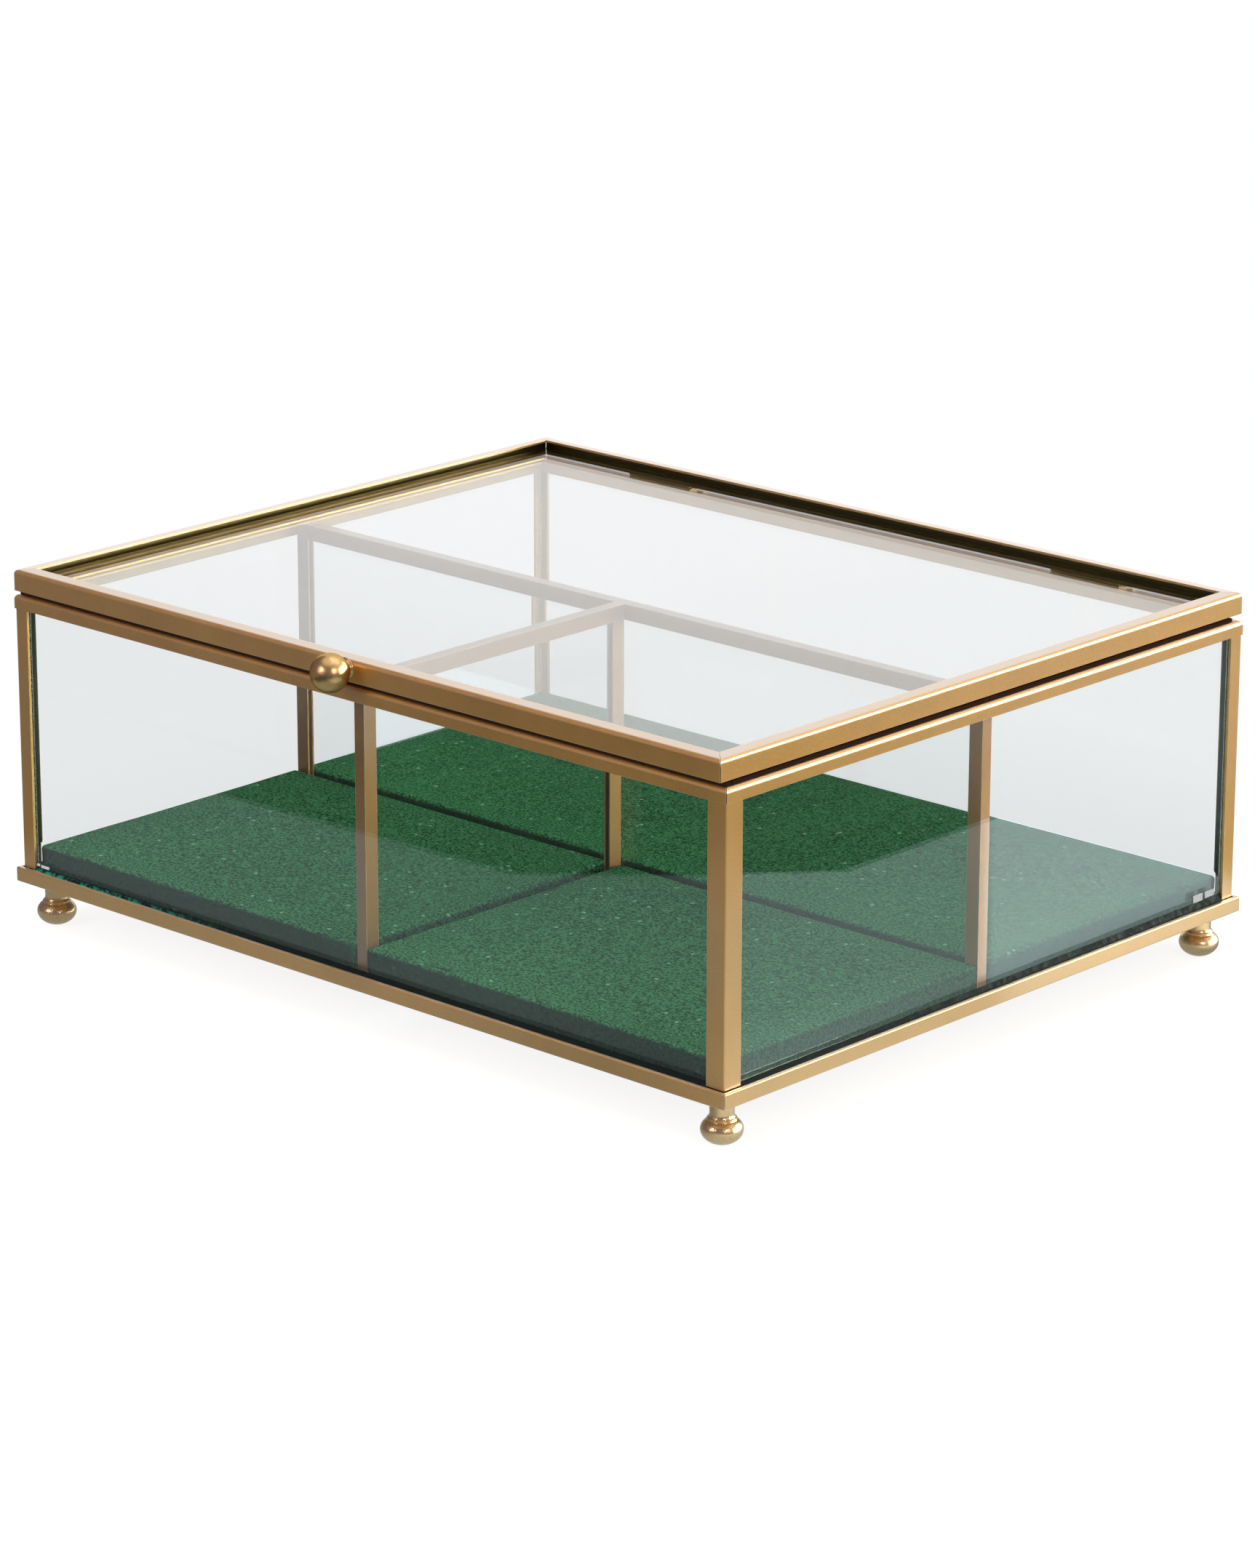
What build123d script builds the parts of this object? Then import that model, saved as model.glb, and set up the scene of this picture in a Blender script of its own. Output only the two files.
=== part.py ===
from build123d import *
import math
import os

# Hinged glass jewelry box in a folded metal frame. Millimetres, +Z up, front towards -Y.
# Every height below is measured from the underside of the base rails, and every place from the
# middle of the box. HOME then sets the finished pieces on their feet, centred on their whole reach.

# Outside of the frame
BASE_WIDTH = 200.0
BASE_DEPTH = 160.0
TOP_INSET = 0.95          # top rails stand this far behind the base rails
POST_INSET = 1.15         # corner posts stand behind both
LID_INSET_X = 1.9         # the lid is a little narrower than the base
LID_INSET_Y = 0.3         # and nearly as deep

# Heights
FOOT_HEIGHT = 9.5
BASE_RAIL_HEIGHT = 3.2
TOP_RAIL_HEIGHT = 3.0
TOP_RAIL_TOP = 62.6
LID_GAP = 1.1             # holds the two folded hinge leaves
LID_RAIL_HEIGHT = 4.4     # at the outer face
LID_LIP_RISE = 0.27       # the top lip slopes up towards its inner edge

# Folded metal
SHEET = 0.5
BASE_WEB = 0.8
BASE_FLANGE = 9.0         # reaches under the floor pane and carries the feet
BASE_FLANGE_SHEET = 0.6
TOP_RAIL_WIDTH = 3.7
LID_RAIL_WIDTH = 3.6
LID_LIP_WIDTH = 3.2       # the top lip is narrower than the bottom one
POST_LEG = 3.4
POST_WIDE_LEG = 4.6       # the front right post is wider than the others
POST_SHEET = 0.6
MITRE_GAP = 0.1           # open seam where two rails meet
FINE_EDGE = 0.12
SOFT_EDGE = 0.3
LID_ROUND = 0.85
TOP_ROUND = 1.0

# Glass
GLASS = 2.0
FLOOR_PANE_GAP = 0.2      # floor pane to base rail web
PANE_HEAD_GAP = 0.2       # wall pane to the top of its channel
PANE_JOINT_GAP = 0.1      # side pane to front and back panes
LID_PANE_GAP = 1.2        # lid pane to the back of its channel

# Dividers
CHANNEL_SHEET = 0.35
CHANNEL_DEPTH = 3.3
DIVIDER_DROP = 0.3        # top of the dividers below the top rails

# Velvet pads on boards
PAD_WALL_GAP = 0.3
PAD_DIVIDER_GAP = 0.35
PAD_EDGE_HEIGHT = 5.5
PAD_CROWN = 0.5
PAD_CROWN_INSET = 20.0
PAD_ROLL = 0.9            # radius of the rolled top edge
PAD_ROLL_STEPS = 3
PAD_TUCK = 0.5            # how far the bottom edge is drawn under
PAD_SIDE_DRAW = 0.35      # how far the sides bow in between the corners
PAD_SIDE_CUTS = 6
PAD_CORNER = 1.0
PAD_CORNER_CUTS = 3
BOARD = 1.5
BOARD_MARGIN = 6.0        # width of the velvet folded under

# Ball feet and ball knob
FOOT_INSET = 5.8
FOOT_RADIUS = 4.3
FOOT_LOW_RADIUS = 3.3     # the lower half is flatter than a ball
FOOT_CENTRE_DROP = 6.4
FOOT_NECK = 3.0
KNOB_RADIUS = 3.95
KNOB_STAND_OFF = 4.4
KNOB_DROP = 0.2           # below the middle of the lid rail
KNOB_NECK = 1.9
KNOB_FLAT = 0.06          # taken off the front of the knob
BALL_STEPS = 8
SCREW_RADIUS = 0.7
SCREW_CLEARANCE = 0.05
SCREW_LENGTH = 4.5
SCREW_HEAD_RADIUS = 1.05
SCREW_HEAD = 0.9

# Hinges
HINGE_PLACE = 60.0        # each side of the middle
HINGE_LENGTH = 18.0
LID_KNUCKLE = 6.4
KNUCKLE_GAP = 0.2
KNUCKLE_RADIUS = 1.2
PIN_RADIUS = 0.6
PIN_HEAD_RADIUS = 0.95
PIN_HEAD = 0.4
RUNNING_CLEARANCE = 0.05
LEAF = 0.45
LEAF_REACH = 4.9          # from the pin forwards, into the gap under the lid
BARREL_GAP = 0.3          # barrel behind the lid
LID_OPENS = 105.0
STOP_ANGLE = 240.0        # direction of the stop lug when the lid is fully open
STOP_THICK = 0.8
STOP_GAP = 0.25

# Worked out from the sizes above
TOP_WIDTH = BASE_WIDTH - 2 * TOP_INSET
TOP_DEPTH = BASE_DEPTH - 2 * TOP_INSET
TOP_RAIL_FOOT = TOP_RAIL_TOP - TOP_RAIL_HEIGHT
LID_WIDTH = BASE_WIDTH - 2 * LID_INSET_X
LID_DEPTH = BASE_DEPTH - 2 * LID_INSET_Y
LID_FOOT = TOP_RAIL_TOP + LID_GAP
FLOOR = BASE_FLANGE_SHEET + GLASS
PANE_OUT_X = BASE_WIDTH / 2 - POST_INSET - POST_SHEET
PANE_OUT_Y = BASE_DEPTH / 2 - POST_INSET - POST_SHEET
PANE_IN_X = PANE_OUT_X - GLASS
PANE_IN_Y = PANE_OUT_Y - GLASS
PANE_HEIGHT = TOP_RAIL_TOP - SHEET - PANE_HEAD_GAP - FLOOR
CLEAR_X = TOP_WIDTH / 2 - TOP_RAIL_WIDTH
CLEAR_Y = TOP_DEPTH / 2 - TOP_RAIL_WIDTH
CHANNEL_WIDTH = GLASS + 2 * CHANNEL_SHEET
DIVIDER_HEIGHT = TOP_RAIL_TOP - DIVIDER_DROP - FLOOR
PIN_Y = LID_DEPTH / 2 + BARREL_GAP + KNUCKLE_RADIUS
PIN_Z = TOP_RAIL_TOP + LID_GAP / 2
STOP_OPEN = math.radians(STOP_ANGLE)
STOP_ROOM = PIN_Y - TOP_DEPTH / 2 - STOP_GAP + STOP_THICK / 2 * math.sin(STOP_OPEN)
STOP_REACH = STOP_ROOM / -math.cos(STOP_OPEN)
STOP_CLOSED = math.radians(STOP_ANGLE + LID_OPENS)
FRONT_REACH = LID_DEPTH / 2 + KNOB_STAND_OFF + KNOB_RADIUS - KNOB_FLAT
STOP_TIP = STOP_REACH * math.cos(STOP_CLOSED) - STOP_THICK / 2 * math.sin(STOP_CLOSED)
BACK_REACH = PIN_Y + STOP_TIP
HOME = Pos(0, (FRONT_REACH - BACK_REACH) / 2, FOOT_HEIGHT)

SIDES = {"front": 0, "right": 90, "back": 180, "left": 270}
CORNERS = {"front_left": (-1, -1, 0), "front_right": (1, -1, 90),
           "back_right": (1, 1, 180), "back_left": (-1, 1, 270)}

pieces = {}


def block(x_span, y_span, z_span):
    """A box between the two ends given on each axis."""
    middle = [(low + high) / 2 for low, high in (x_span, y_span, z_span)]
    return Pos(*middle) * Box(*[high - low for low, high in (x_span, y_span, z_span)])


def outline(*points):
    """A flat face with the given corners."""
    return make_face(Polyline(*points, close=True))


def rounded(face, place, radius):
    """Round the corner of a face that lies nearest to a place."""
    corner = face.vertices().sort_by_distance(Vector(*place))[0]
    return fillet(corner, radius)


def mitred_rail(section, length, width):
    """A rail along X with its outer face at Y = 0, running inwards to +Y, cut at 45 degrees."""
    straight = extrude(Plane.YZ * section, amount=length / 2, both=True)
    half = length / 2 - MITRE_GAP * math.sqrt(0.5)
    mitre = outline((-half, 0), (half, 0), (half - width, width), (width - half, width))
    tallest = 4 * max(BASE_RAIL_HEIGHT, TOP_RAIL_HEIGHT, LID_RAIL_HEIGHT)
    return straight & extrude(mitre, amount=tallest, both=True)


def rail_frame(name, section, frame_width, frame_depth, rail_width, height):
    """Four mitred rails of one section, set round a rectangle at a height."""
    for side, turn in SIDES.items():
        runs_across = side in ("front", "back")
        length = frame_width if runs_across else frame_depth
        stand_off = frame_depth if runs_across else frame_width
        rail = mitred_rail(section, length, rail_width)
        pieces[f"{name}_{side}"] = Pos(0, 0, height) * Rot(0, 0, turn) * Pos(0, -stand_off / 2, 0) * rail


def base_section():
    """Angle: an outer web, and a flange that runs in under the floor pane."""
    face = outline((0, 0), (BASE_FLANGE, 0), (BASE_FLANGE, BASE_FLANGE_SHEET),
                   (BASE_WEB, BASE_FLANGE_SHEET), (BASE_WEB, BASE_RAIL_HEIGHT), (0, BASE_RAIL_HEIGHT))
    face = rounded(face, (0, 0), SOFT_EDGE)
    return rounded(face, (0, BASE_RAIL_HEIGHT), SOFT_EDGE)


def top_section():
    """Channel, open downwards, that caps the panes and the posts."""
    width, height = TOP_RAIL_WIDTH, TOP_RAIL_HEIGHT
    face = outline((0, 0), (SHEET, 0), (SHEET, height - SHEET), (width - SHEET, height - SHEET),
                   (width - SHEET, 0), (width, 0), (width, height), (0, height))
    face = rounded(face, (0, height), TOP_ROUND)
    return rounded(face, (width, height), SOFT_EDGE)


def lid_section():
    """Channel, open inwards, with a rounded outer edge and a top lip that slopes up to its edge."""
    height, lip = LID_RAIL_HEIGHT, LID_LIP_WIDTH
    face = outline((0, 0), (LID_RAIL_WIDTH, 0), (LID_RAIL_WIDTH, SHEET), (SHEET, SHEET),
                   (SHEET, height - SHEET), (lip, height - SHEET + LID_LIP_RISE),
                   (lip, height + LID_LIP_RISE), (0, height))
    face = rounded(face, (0, height), LID_ROUND)
    return rounded(face, (0, 0), FINE_EDGE)


def corner_posts():
    """Four angles that hold the panes together at the corners, from the floor pane to the top rails."""
    sheet = POST_SHEET
    for corner, (x_side, y_side, turn) in CORNERS.items():
        leg = POST_WIDE_LEG if corner == "front_right" else POST_LEG
        section = outline((0, 0), (leg, 0), (leg, sheet), (sheet, sheet), (sheet, leg), (0, leg))
        section = rounded(section, (0, 0), SOFT_EDGE)
        post = extrude(section, amount=TOP_RAIL_FOOT - FLOOR)
        place = Pos(x_side * (BASE_WIDTH / 2 - POST_INSET), y_side * (BASE_DEPTH / 2 - POST_INSET), FLOOR)
        pieces[f"corner_post_{corner}"] = place * Rot(0, 0, turn) * post


def panes():
    """Floor pane on the base flanges, and four wall panes that stand on it between the posts."""
    floor_x = BASE_WIDTH / 2 - BASE_WEB - FLOOR_PANE_GAP
    floor_y = BASE_DEPTH / 2 - BASE_WEB - FLOOR_PANE_GAP
    pieces["bottom_glass"] = block((-floor_x, floor_x), (-floor_y, floor_y), (BASE_FLANGE_SHEET, FLOOR))
    upright = (FLOOR, FLOOR + PANE_HEIGHT)
    across = (-PANE_OUT_X, PANE_OUT_X)
    along = (PANE_JOINT_GAP - PANE_IN_Y, PANE_IN_Y - PANE_JOINT_GAP)
    pieces["wall_glass_front"] = block(across, (-PANE_OUT_Y, -PANE_IN_Y), upright)
    pieces["wall_glass_back"] = block(across, (PANE_IN_Y, PANE_OUT_Y), upright)
    pieces["wall_glass_left"] = block((-PANE_OUT_X, -PANE_IN_X), along, upright)
    pieces["wall_glass_right"] = block((PANE_IN_X, PANE_OUT_X), along, upright)


def framed_divider(name, first_end, second_end, length, place):
    """A pane with a channel on its top edge and on each upright edge, mitred where they meet."""
    depth, height, half = CHANNEL_DEPTH, DIVIDER_HEIGHT, length / 2
    thickness = (-CHANNEL_WIDTH / 2, CHANNEL_WIDTH / 2)
    slot = (-GLASS / 2, GLASS / 2)
    top = block((-half, half), thickness, (height - depth, height))
    top -= block((-half, half), slot, (height - depth, height - CHANNEL_SHEET))
    top_mitre = outline((-half, height), (half, height), (half - depth, height - depth),
                        (depth - half, height - depth))
    top &= extrude(Plane.XZ * top_mitre, amount=CHANNEL_WIDTH, both=True)
    end = block((-half, depth - half), thickness, (0, height))
    end -= block((CHANNEL_SHEET - half, depth - half), slot, (0, height))
    end_mitre = outline((-half, 0), (depth - half, 0), (depth - half, height - depth), (-half, height))
    end &= extrude(Plane.XZ * end_mitre, amount=CHANNEL_WIDTH, both=True)
    pieces[f"{name}_top_channel"] = place * top
    pieces[f"{name}_{first_end}_channel"] = place * end
    pieces[f"{name}_{second_end}_channel"] = place * Rot(0, 0, 180) * end
    inside = half - CHANNEL_SHEET
    pieces[f"{name}_glass"] = place * block((-inside, inside), slot, (0, height - CHANNEL_SHEET))


def dividers():
    """The long divider spans the box at half its depth, and the short one splits the front half."""
    framed_divider("long_divider", "left", "right", 2 * CLEAR_X, Pos(0, 0, FLOOR))
    short_length = CLEAR_Y - CHANNEL_WIDTH / 2
    short_middle = -(CLEAR_Y + CHANNEL_WIDTH / 2) / 2
    short_place = Pos(0, short_middle, FLOOR) * Rot(0, 0, 90)
    framed_divider("cross_divider", "front", "back", short_length, short_place)


def pad_ring(width, depth, level, inset):
    """Points round a pad at one height: sides that bow in slightly, between rounded corners."""
    half = (width / 2 - inset, depth / 2 - inset)
    ring = []
    for quarter in range(4):
        along, across = half if quarter % 2 == 0 else half[::-1]
        edge = []
        for step in range(1, PAD_SIDE_CUTS):
            part = 2 * step / PAD_SIDE_CUTS - 1
            bow = PAD_SIDE_DRAW * (1 - part * part)
            edge.append(Vector(part * (along - PAD_CORNER), bow - across, level))
        for step in range(PAD_CORNER_CUTS + 1):
            turn = math.pi / 2 * step / PAD_CORNER_CUTS
            edge.append(Vector(along - PAD_CORNER * (1 - math.sin(turn)),
                               PAD_CORNER * (1 - math.cos(turn)) - across, level))
        ring += [point.rotate(Axis.Z, 90 * quarter) for point in edge]
    return ring


def pad(width, depth):
    """A low cushion in flat facets: tucked in below, rolled over at its edge and crowned."""
    levels = [(0, PAD_TUCK)]
    for step in range(PAD_ROLL_STEPS + 1):
        turn = math.pi / 2 * step / PAD_ROLL_STEPS
        levels.append((PAD_EDGE_HEIGHT - PAD_ROLL * (1 - math.sin(turn)), PAD_ROLL * (1 - math.cos(turn))))
    levels.append((PAD_EDGE_HEIGHT + PAD_CROWN, PAD_CROWN_INSET))
    rings = [pad_ring(width, depth, level, inset) for level, inset in levels]
    facets = [outline(*rings[0]), outline(*rings[-1])]
    for low, high in zip(rings, rings[1:]):
        for spot in range(len(low)):
            facets.append(outline(low[spot - 1], low[spot], high[spot]))
            facets.append(outline(low[spot - 1], high[spot], high[spot - 1]))
    return Solid(Shell(facets))


def pads():
    """One pad in each compartment, with its board let into the underside."""
    outer_x, outer_y = PANE_IN_X - PAD_WALL_GAP, PANE_IN_Y - PAD_WALL_GAP
    inner = CHANNEL_WIDTH / 2 + PAD_DIVIDER_GAP
    spans = {"back": ((-outer_x, outer_x), (inner, outer_y)),
             "front_left": ((-outer_x, -inner), (-outer_y, -inner)),
             "front_right": ((inner, outer_x), (-outer_y, -inner))}
    for name, (x_span, y_span) in spans.items():
        width, depth = x_span[1] - x_span[0], y_span[1] - y_span[0]
        place = Pos(sum(x_span) / 2, sum(y_span) / 2, FLOOR)
        half_x, half_y = width / 2 - BOARD_MARGIN, depth / 2 - BOARD_MARGIN
        board = block((-half_x, half_x), (-half_y, half_y), (0, BOARD))
        pieces[f"pad_{name}"] = place * (pad(width, depth) - board)
        pieces[f"pad_board_{name}"] = place * board


def ball_on_neck(radius, low_radius, neck_radius, centre_drop, reach):
    """A ball turned in BALL_STEPS cuts below a neck that starts at Z = 0. It ends in a flat."""
    first = math.asin(neck_radius / radius)
    last = math.acos((centre_drop - reach) / low_radius)
    profile = [(0, 0), (neck_radius, 0)]
    for step in range(BALL_STEPS + 1):
        turn = first + (last - first) * step / BALL_STEPS
        tall = radius if turn < math.pi / 2 else low_radius
        profile.append((radius * math.sin(turn), tall * math.cos(turn) - centre_drop))
    profile.append((0, -reach))
    return revolve(Plane.XZ * outline(*profile), axis=Axis.Z)


def feet():
    """Four ball feet below the mitred corners of the base flanges."""
    foot = ball_on_neck(FOOT_RADIUS, FOOT_LOW_RADIUS, FOOT_NECK, FOOT_CENTRE_DROP, FOOT_HEIGHT)
    for corner, (x_side, y_side, turn) in CORNERS.items():
        place = Pos(x_side * (BASE_WIDTH / 2 - FOOT_INSET), y_side * (BASE_DEPTH / 2 - FOOT_INSET), 0)
        pieces[f"foot_{corner}"] = place * foot


def knob():
    """Ball knob on the front lid rail, held by a screw from inside the channel."""
    reach = KNOB_STAND_OFF + KNOB_RADIUS - KNOB_FLAT
    ball = ball_on_neck(KNOB_RADIUS, KNOB_RADIUS, KNOB_NECK, KNOB_STAND_OFF, reach)
    depth = SCREW_LENGTH - SHEET
    ball -= Pos(0, 0, -depth / 2) * Cylinder(SCREW_RADIUS + SCREW_CLEARANCE, depth)
    shank = Pos(0, 0, SHEET - SCREW_LENGTH / 2) * Cylinder(SCREW_RADIUS, SCREW_LENGTH)
    head = Pos(0, 0, SHEET + SCREW_HEAD / 2) * Cylinder(SCREW_HEAD_RADIUS, SCREW_HEAD)
    hole = Cylinder(SCREW_RADIUS + SCREW_CLEARANCE, 4 * SHEET)
    place = Pos(0, -LID_DEPTH / 2, LID_FOOT + LID_RAIL_HEIGHT / 2 - KNOB_DROP) * Rot(-90, 0, 0)
    pieces["lid_knob"] = place * ball
    pieces["knob_screw"] = place * chamfer((shank + head).edges().sort_by(Axis.Z)[-1], SCREW_HEAD / 3)
    pieces["lid_rail_front"] -= place * hole


def lid_pane():
    """Lid pane, lying on the bottom lips of the lid channels."""
    half_x = LID_WIDTH / 2 - SHEET - LID_PANE_GAP
    half_y = LID_DEPTH / 2 - SHEET - LID_PANE_GAP
    lying = (LID_FOOT + SHEET, LID_FOOT + SHEET + GLASS)
    pieces["lid_glass"] = block((-half_x, half_x), (-half_y, half_y), lying)


def barrel(radius, x_span):
    """A round bar along X, on the hinge line, between two places."""
    return Pos(sum(x_span) / 2, 0, 0) * Rot(0, 90, 0) * Cylinder(radius, x_span[1] - x_span[0])


def hinge_leaf(plate_z, plate_back, knuckles, bore):
    """A leaf on the hinge line: a plate, and a tongue rolled into a knuckle at each given span."""
    half = HINGE_LENGTH / 2
    leaf = block((-half, half), (-LEAF_REACH, -plate_back), plate_z)
    for span in knuckles:
        leaf += block(span, (-LEAF_REACH, 0), plate_z) + barrel(KNUCKLE_RADIUS, span)
    return leaf - barrel(bore, (-half, half))


def hinges():
    """Two butt hinges. A lug behind each lid knuckle meets the top rail when the lid is fully open."""
    half, lid_half = HINGE_LENGTH / 2, LID_KNUCKLE / 2
    box_spans = [(-half, -lid_half - KNUCKLE_GAP), (lid_half + KNUCKLE_GAP, half)]
    lid_span = (-lid_half, lid_half)
    plate_back = PIN_Y - TOP_DEPTH / 2
    box_leaf = hinge_leaf((-LID_GAP / 2, LEAF - LID_GAP / 2), plate_back, box_spans, PIN_RADIUS)
    lid_leaf = hinge_leaf((LID_GAP / 2 - LEAF, LID_GAP / 2), plate_back, [lid_span],
                          PIN_RADIUS + RUNNING_CLEARANCE)
    lug = block(lid_span, (KNUCKLE_RADIUS - SHEET, STOP_REACH), (-STOP_THICK / 2, STOP_THICK / 2))
    lid_leaf += Rot(math.degrees(STOP_CLOSED), 0, 0) * lug
    pin = barrel(PIN_RADIUS, (-half, half))
    for end in (-half, half):
        head = barrel(PIN_HEAD_RADIUS, sorted((end, end + math.copysign(PIN_HEAD, end))))
        pin += chamfer(head.edges().sort_by(lambda edge: abs(edge.center().X))[-1], PIN_HEAD / 2)
    for side, place in (("left", -HINGE_PLACE), ("right", HINGE_PLACE)):
        on_line = Pos(place, PIN_Y, PIN_Z)
        pieces[f"hinge_box_leaf_{side}"] = on_line * box_leaf
        pieces[f"hinge_lid_leaf_{side}"] = on_line * lid_leaf
        pieces[f"hinge_pin_{side}"] = on_line * pin


rail_frame("bottom_rail", base_section(), BASE_WIDTH, BASE_DEPTH, BASE_FLANGE, 0)
rail_frame("top_rail", top_section(), TOP_WIDTH, TOP_DEPTH, TOP_RAIL_WIDTH, TOP_RAIL_FOOT)
rail_frame("lid_rail", lid_section(), LID_WIDTH, LID_DEPTH, LID_RAIL_WIDTH, LID_FOOT)
corner_posts()
panes()
dividers()
pads()
feet()
knob()
lid_pane()
hinges()

os.makedirs("parts", exist_ok=True)
for piece_name, piece in pieces.items():
    export_step(HOME * piece, f"parts/{piece_name}.step")

pin_place = HOME * Pos(0, PIN_Y, PIN_Z)
print("pieces", len(pieces))
print("hinge line at Y, Z:", pin_place.position.Y, pin_place.position.Z)
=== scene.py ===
import math

import bmesh
import bpy
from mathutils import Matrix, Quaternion, Vector, noise


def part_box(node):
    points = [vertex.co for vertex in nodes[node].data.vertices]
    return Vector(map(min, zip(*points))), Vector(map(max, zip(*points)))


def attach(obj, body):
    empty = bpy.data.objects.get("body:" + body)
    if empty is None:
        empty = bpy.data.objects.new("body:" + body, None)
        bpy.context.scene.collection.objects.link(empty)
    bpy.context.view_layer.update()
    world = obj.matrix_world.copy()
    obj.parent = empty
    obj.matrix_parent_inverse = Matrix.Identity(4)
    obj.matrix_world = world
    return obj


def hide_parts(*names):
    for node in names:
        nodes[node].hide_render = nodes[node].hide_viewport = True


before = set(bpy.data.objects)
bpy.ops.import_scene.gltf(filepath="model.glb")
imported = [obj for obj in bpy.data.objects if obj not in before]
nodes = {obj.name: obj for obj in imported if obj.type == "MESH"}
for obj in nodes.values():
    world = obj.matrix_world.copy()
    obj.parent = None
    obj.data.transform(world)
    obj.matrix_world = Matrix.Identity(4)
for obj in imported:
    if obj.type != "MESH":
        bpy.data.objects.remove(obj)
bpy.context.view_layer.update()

MM = 0.001

# HOME is where the source's origin, in the middle of the base's underside, lies in the frame.
FOOT_HEIGHT = 9.5 * MM
HOME = Vector((0, 1.8426 * MM, FOOT_HEIGHT))


# Node building

# Most of a noise lies between these values.
NOISE_LOW, NOISE_HIGH = 0.3, 0.7
WHITE = (1, 1, 1, 1)


def add(tree, kind, inputs=None, **settings):
    """A shader node with its settings, and its inputs set to a value or linked to a socket."""
    made = tree.nodes.new("ShaderNode" + kind)
    for key, value in settings.items():
        setattr(made, key, value)
    for key, value in (inputs or {}).items():
        if isinstance(value, bpy.types.NodeSocket):
            tree.links.new(value, made.inputs[key])
        else:
            made.inputs[key].default_value = value
    return made


def empty_material(name):
    material = bpy.data.materials.new(name)
    material.use_nodes = True
    material.node_tree.nodes.clear()
    return material, material.node_tree


def spans(tree, value, low, high, to_low, to_high):
    """The value's range from low to high, moved to another range and kept inside it."""
    return add(tree, "MapRange", {"Value": value, "From Min": low, "From Max": high,
                                  "To Min": to_low, "To Max": to_high}).outputs["Result"]


def graded(tree, noise_value, to_low, to_high):
    """A noise, moved to a range."""
    return spans(tree, noise_value, NOISE_LOW, NOISE_HIGH, to_low, to_high)


def blend_colours(tree, factor, first, second):
    """The first colour where the factor is 0, and the second where it is 1."""
    return add(tree, "MixRGB", {"Fac": factor, "Color1": first, "Color2": second}).outputs["Color"]


def arith(tree, operation, first, second):
    made = add(tree, "Math", operation=operation)
    for socket, value in zip(made.inputs, (first, second)):
        if isinstance(value, bpy.types.NodeSocket):
            tree.links.new(value, socket)
        else:
            socket.default_value = value
    return made.outputs["Value"]


def plus(tree, first, second):
    return arith(tree, "ADD", first, second)


def times(tree, first, second):
    return arith(tree, "MULTIPLY", first, second)


def split(tree, vector):
    """The three parts of a vector."""
    parts = add(tree, "SeparateXYZ", {"Vector": vector})
    return parts.outputs["X"], parts.outputs["Y"], parts.outputs["Z"]


def own_place(tree):
    """A point's place in its piece's own space, which is the frame's at rest."""
    return add(tree, "TexCoord").outputs["Object"]


def own_direction(tree, output):
    """A face's direction in its piece's own space, so that a finish moves with its piece."""
    return add(tree, "VectorTransform", {"Vector": add(tree, "NewGeometry").outputs[output]},
               vector_type="NORMAL", convert_from="WORLD", convert_to="OBJECT").outputs["Vector"]


def texture_noise(tree, place, scale, detail=2.0, rough=0.5, stretch=None):
    if stretch:
        place = add(tree, "Mapping", {"Vector": place, "Scale": stretch}).outputs["Vector"]
    return add(tree, "TexNoise", {"Vector": place, "Scale": scale, "Detail": detail,
                                  "Roughness": rough}).outputs["Fac"]


def bumped(tree, height, distance=1.0, **others):
    """A face's direction with a relief on it. The distance is 1 for a height in metres."""
    return add(tree, "Bump", {"Strength": 1.0, "Distance": distance, "Height": height,
                              **others}).outputs["Normal"]


def emission(tree, colour, strength):
    return add(tree, "Emission", {"Color": colour, "Strength": strength}).outputs["Emission"]


def mix_shaders(tree, factor, first, second):
    """The first shader where the factor is 0, and the second where it is 1."""
    return add(tree, "MixShader", {0: factor, 1: first, 2: second}).outputs["Shader"]


def close(tree, shader, volume=None):
    """The material's output."""
    output = add(tree, "OutputMaterial", {"Surface": shader})
    if volume:
        tree.links.new(volume, output.inputs["Volume"])


# Gold finishes

# The reach over which an edge looks rounded, and rubbed and painted lighter as a painted highlight
EDGE_ROUND = 0.22 * MM
# How far the grain and the clouds change the roughness
GRAIN_ROUGH, CLOUD_ROUGH = 0.04, 0.03

# The lid's channels have painted shade round the glass: on inward faces and on its bed, below the rolled
# edge.
CHANNEL_SHADE = (0.115, 0.090, 0.032, 1)
LEFT_CHANNEL_SHADE = (0.13, 0.092, 0.022, 1)
CHANNEL_SHADE_SHARE = 0.95
SHADED_LACQUER = 0.1
CHANNEL_SHADE_START, CHANNEL_SHADE_FULL = 77.0 * MM, 76.75 * MM
BED_START, BED_FULL = 75 * MM, 74 * MM
INWARD_START, INWARD_FULL = -40 * MM, -60 * MM
LEFT_START, LEFT_FULL = -85 * MM, -94 * MM

# Painted shade on the left rail's faces that look to the right.
INSIDE_SHADE = (0.19, 0.175, 0.07, 1)
INSIDE_SHADE_SHARE = 0.55


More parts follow.
